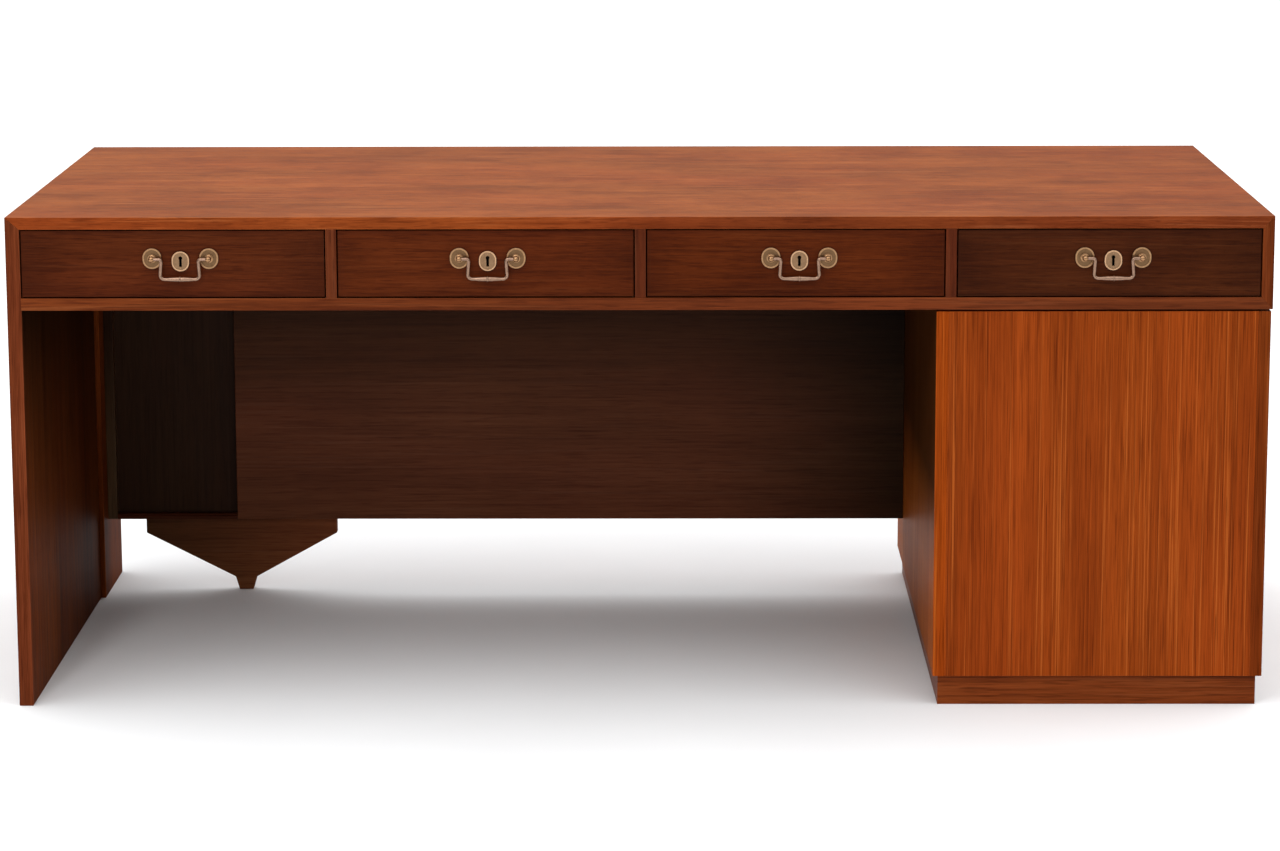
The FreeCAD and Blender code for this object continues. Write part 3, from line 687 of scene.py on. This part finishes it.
def mesh_from(build, name):
    """The mesh that was built, with its builder freed."""
    mesh = bpy.data.meshes.new(name)
    build.to_mesh(mesh)
    build.free()
    return mesh


def new_piece(name, mesh, material, body):
    """Puts a new mesh in the scene, with its material, body and slot."""
    piece = bpy.data.objects.new(name, mesh)
    bpy.context.scene.collection.objects.link(piece)
    mesh.materials.append(material)
    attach(piece, body)


def lathe(build, profile, steps):
    """Turns a profile of radii and heights, which starts and ends on the axis, into a closed form."""
    rings = []
    for radius, height in profile:
        if radius == 0.0:
            rings.append([build.verts.new((0.0, 0.0, height))] * steps)
            continue
        angles = [math.tau * step / steps for step in range(steps)]
        ring = [(radius * math.cos(angle), radius * math.sin(angle), height) for angle in angles]
        rings.append([build.verts.new(place) for place in ring])
    for lower, upper in zip(rings, rings[1:]):
        for step in range(steps):
            after = (step + 1) % steps
            corners = [lower[step], lower[after], upper[after], upper[step]]
            build.faces.new(list(dict.fromkeys(corners)))
    bmesh.ops.recalc_face_normals(build, faces=build.faces)


# A fastener's head: how far its foot is let in, the angles of its dome's points, its facets, and the
# angle from which its edges look sharp.
HEAD_LET_IN = 0.0002
DOME_ANGLES = (0.0, 0.35, 0.7, 1.05, 1.3)
HEAD_FACETS = 32
HEAD_SHARP_DEGREES = 35

# A screw's slot, in shares of its head's radius, and in shares of its rise.
SLOT_LENGTH_SHARE, SLOT_WIDTH_SHARE = 3.0, 0.24
SLOT_HEIGHT_SHARE, SLOT_LEVEL_SHARE = 1.2, 1.05


def domed_head(name, radius, rise):
    """The domed head of a pin, or of a screw without its slot."""
    build = bmesh.new()
    dome = [(radius * math.cos(angle), rise * math.sin(angle)) for angle in DOME_ANGLES]
    lathe(build, [(0.0, -HEAD_LET_IN), (radius, -HEAD_LET_IN), *dome, (0.0, rise)], HEAD_FACETS)
    return mesh_from(build, name)


def slotted_head(name, radius, rise):
    """The domed head of a screw, with a slot cut across it."""
    head = bpy.data.objects.new(name, domed_head(name, radius, rise))
    build = bmesh.new()
    bmesh.ops.create_cube(build, size=1.0)
    sizes = (radius * SLOT_LENGTH_SHARE, radius * SLOT_WIDTH_SHARE, rise * SLOT_HEIGHT_SHARE)
    bmesh.ops.scale(build, vec=sizes, verts=build.verts)
    bmesh.ops.translate(build, vec=(0.0, 0.0, rise * SLOT_LEVEL_SHARE), verts=build.verts)
    cutter = bpy.data.objects.new(name + "_cutter", mesh_from(build, name + "_cutter"))
    for item in (head, cutter):
        bpy.context.scene.collection.objects.link(item)
    slot = head.modifiers.new("slot", "BOOLEAN")
    slot.object = cutter
    slot.operation = "DIFFERENCE"
    slot.solver = "EXACT"
    cut = bpy.data.meshes.new_from_object(head.evaluated_get(bpy.context.evaluated_depsgraph_get()))
    for item in (head, cutter):
        bpy.data.objects.remove(item)
    return cut


# The turn of the first head, and how much further each next head and each next drawer's are turned.
FIRST_TURN, TURN_PER_HEAD, TURN_PER_DRAWER = 25.0, 47.0, 13.0


def place_heads(name, head, places, facing, material, number):
    """Copies of a head at several places in one piece. They face the sitter for -1, and away for 1."""
    build = bmesh.new()
    for step, place in enumerate(places):
        known = len(build.verts)
        build.from_mesh(head)
        build.verts.ensure_lookup_table()
        tilted = Matrix.Rotation(math.radians(-90.0 * facing), 4, "X")
        turn = FIRST_TURN + TURN_PER_HEAD * step + TURN_PER_DRAWER * number
        turned = Matrix.Rotation(math.radians(turn), 4, "Z")
        seated = Matrix.Translation(place) @ tilted @ turned
        bmesh.ops.transform(build, matrix=seated, verts=build.verts[known:])
    mesh = mesh_from(build, name)
    new_piece(name, mesh, material, f"drawer_{number}")
    mesh.shade_smooth()
    mesh.set_sharp_from_angle(angle=math.radians(HEAD_SHARP_DEGREES))


# The escutcheon's field behind its rim, and its pins' places from its two ends.
FIELD_DEPTH = 0.0009
PIN_FROM_END = 0.0044

# The lock's screws, from its middle, foot and top, and the middle of a pull's post from its rosette's edge.
LOCK_SCREW_OUT = 0.0175
LOCK_SCREW_UP = 0.0055
LOCK_SCREW_DOWN = 0.0160
POST_FROM_EDGE = 0.0138


def fasteners():
    """The pins of each escutcheon, and the screws of each lock and pull inside the drawer."""
    pin = domed_head("pin", radius=0.00095, rise=0.0005)
    lock_screw = slotted_head("lock_screw", radius=0.0027, rise=0.0007)
    pull_screw = slotted_head("pull_screw", radius=0.0046, rise=0.0019)
    for number in DRAWERS:
        plate_low, plate_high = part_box(f"drawer_{number}_escutcheon")
        middle = (plate_low.x + plate_high.x) / 2
        field = plate_low.y + FIELD_DEPTH
        pins = [(middle, field, plate_high.z - PIN_FROM_END), (middle, field, plate_low.z + PIN_FROM_END)]
        place_heads(f"drawer_{number}_pins", pin, pins, -1, plate_brass, number)
        lock_low, lock_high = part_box(f"drawer_{number}_lock")
        screws = [
            (middle + side * LOCK_SCREW_OUT, lock_high.y, height)
            for side in (-1, 1)
            for height in (lock_low.z + LOCK_SCREW_UP, lock_high.z - LOCK_SCREW_DOWN)
        ]
        place_heads(f"drawer_{number}_lock_screws", lock_screw, screws, 1, screw_brass, number)
        post_low, post_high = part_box(f"drawer_{number}_pull_posts")
        height = (post_low.z + post_high.z) / 2
        half = (post_high.x - post_low.x) / 2 - POST_FROM_EDGE
        screws = [(middle - half, lock_high.y, height), (middle + half, lock_high.y, height)]
        place_heads(f"drawer_{number}_pull_screws", pull_screw, screws, 1, screw_brass, number)


# The sill's height, the moulding of its front corner in distances back from its face and up from its
# foot, and the number that shifts its figure.
SILL_HEIGHT = 0.0090
SILL_MOULDING = (
    (0.0050, SILL_HEIGHT), (0.0036, 0.0086), (0.0027, 0.0077),
    (0.0022, 0.0066), (0.0010, 0.0060), (0.0, 0.0048),
)
SILL_SEED = 61


def sill():
    """The thin moulded strip that closes the sunk panel's opening at its foot."""
    panel_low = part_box("modesty_panel")[LOW]
    front, foot = panel_low.y, panel_low.z
    left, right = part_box("corner_cleat")[HIGH].x, panel_low.x
    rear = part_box("sunk_panel")[LOW].y
    section = [(front, foot), (rear, foot), (rear, foot + SILL_HEIGHT)]
    section += [(front + back, foot + up) for back, up in SILL_MOULDING]
    build = bmesh.new()
    ends = [[build.verts.new((x, y, z)) for y, z in section] for x in (left, right)]
    build.faces.new(ends[0])
    build.faces.new(reversed(ends[1]))
    for number in range(len(section)):
        after = (number + 1) % len(section)
        build.faces.new((ends[0][number], ends[1][number], ends[1][after], ends[0][after]))
    bmesh.ops.recalc_face_normals(build, faces=build.faces)
    mesh = mesh_from(build, "sunk_panel_sill")
    material = wood("sunk_panel_sill_wood", KNEE, ALONG_X, SILL_SEED, (0.62, 0.52, 0.55))
    new_piece("sunk_panel_sill", mesh, material, "carcass")


FLOOR_HALF = 60.0


def floor():
    """A wide pale floor that runs past the picture on every side."""
    mesh = bpy.data.meshes.new("floor")
    corners = [(side * FLOOR_HALF, end * FLOOR_HALF, 0) for side, end in ((-1, -1), (1, -1), (1, 1), (-1, 1))]
    mesh.from_pydata(corners, [], [(0, 1, 2, 3)])
    piece = bpy.data.objects.new("floor", mesh)
    bpy.context.scene.collection.objects.link(piece)

    def build(tree):
        mottle = tree.noise(tree.place("Object"), detail=3.0, roughness=0.5, scale=3.0)
        colour = tree.ramp(mottle, ((0.3, grey(0.87)), (0.7, grey(0.90))))
        return {"Base Color": colour, "Roughness": 0.9, "Specular IOR Level": 0.05}

    mesh.materials.append(surface("pale_floor", build))


# The room's light: its strength low down and overhead and how steeply a direction rises there, and the
# share of it that comes from before the desk and from behind it.
DIM, BRIGHT = 0.26, 1.95
DIM_RISE, BRIGHT_RISE = 0.26, 0.62
BEFORE_SHARE, BEHIND_SHARE = 0.92, 1.0
TURN_SPAN = (-0.6, 0.6)
ROOM_COLOUR = (0.98, 0.99, 1.0, 1.0)


def room():
    """A pale room: bright overhead, dim low down. Where nothing stands, it is white."""
    world = bpy.data.worlds.new("room")
    world.use_nodes = True
    tree = Tree(world.node_tree)
    direction = tree.split(tree.place("Generated"))
    rising = tree.spread(direction[Z], DIM_RISE, BRIGHT_RISE, DIM, BRIGHT)
    facing = tree.spread(direction[Y], *TURN_SPAN, BEFORE_SHARE, BEHIND_SHARE)
    strength = tree.math("MULTIPLY", rising, facing)
    room_light = tree.add("ShaderNodeBackground", {"Color": ROOM_COLOUR, "Strength": strength})
    seen = tree.add("ShaderNodeBackground", {"Color": (1.0, 1.0, 1.0, 1.0)})
    camera_ray = tree.add("ShaderNodeLightPath").outputs["Is Camera Ray"]
    mixed = tree.add("ShaderNodeMixShader", {0: camera_ray, 1: room_light.outputs[0], 2: seen.outputs[0]})
    tree.add("ShaderNodeOutputWorld", {0: mixed.outputs[0]})
    bpy.context.scene.world = world
    bpy.context.scene.view_settings.view_transform = "Standard"


def area_light(name, place, target, width, height, watts):
    """A soft rectangular light at a place, facing a target."""
    lamp = bpy.data.lights.new(name, "AREA")
    lamp.shape = "RECTANGLE"
    lamp.size = width
    lamp.size_y = height
    lamp.energy = watts
    holder = bpy.data.objects.new(name, lamp)
    holder.location = place
    holder.rotation_euler = (Vector(target) - Vector(place)).to_track_quat("-Z", "Y").to_euler()
    bpy.context.scene.collection.objects.link(holder)


# The picture's frame and its lens, with the row that the lens's axis meets.
PICTURE_WIDTH = 1280
PICTURE_HEIGHT = 851
FOCAL_PIXELS = 3773.2
LENS_AXIS_ROW = 370.0
SENSOR_WIDTH = 36.0

# The camera's place and turn, found from the corners of the desk in the picture.
CAMERA_RIGHT = 0.04343
CAMERA_BEFORE_FRONT = 5.4719
CAMERA_HEIGHT = 1.4876
PITCH_DEGREES = 10.124
YAW_DEGREES = 0.444
ROLL_DEGREES = -0.136


def camera():
    """The camera at the picture's place, turned and framed as it is there."""
    lens = bpy.data.cameras.new("camera")
    lens.sensor_width = SENSOR_WIDTH
    lens.lens = SENSOR_WIDTH * FOCAL_PIXELS / PICTURE_WIDTH
    lens.shift_y = (LENS_AXIS_ROW - PICTURE_HEIGHT / 2) / PICTURE_WIDTH
    lens.clip_end = 200.0
    holder = bpy.data.objects.new("camera", lens)
    turn = (
        Matrix.Rotation(math.radians(ROLL_DEGREES), 3, "Y")
        @ Matrix.Rotation(math.radians(PITCH_DEGREES), 3, "X")
        @ Matrix.Rotation(-math.radians(YAW_DEGREES), 3, "Z")
    )
    facing = turn.transposed() @ Matrix.Rotation(math.radians(90), 3, "X")
    place = Vector((CAMERA_RIGHT, FRONT_PLANE - CAMERA_BEFORE_FRONT, CAMERA_HEIGHT))
    holder.matrix_world = Matrix.Translation(place) @ facing.to_4x4()
    bpy.context.scene.collection.objects.link(holder)
    bpy.context.scene.camera = holder


dress_boards()
dress_metal()
fasteners()
sill()
floor()
room()
area_light("glint", place=(-1.3, -3.2, 2.7), target=(0.0, -0.4, 0.6), width=0.4, height=0.3, watts=20)
camera()
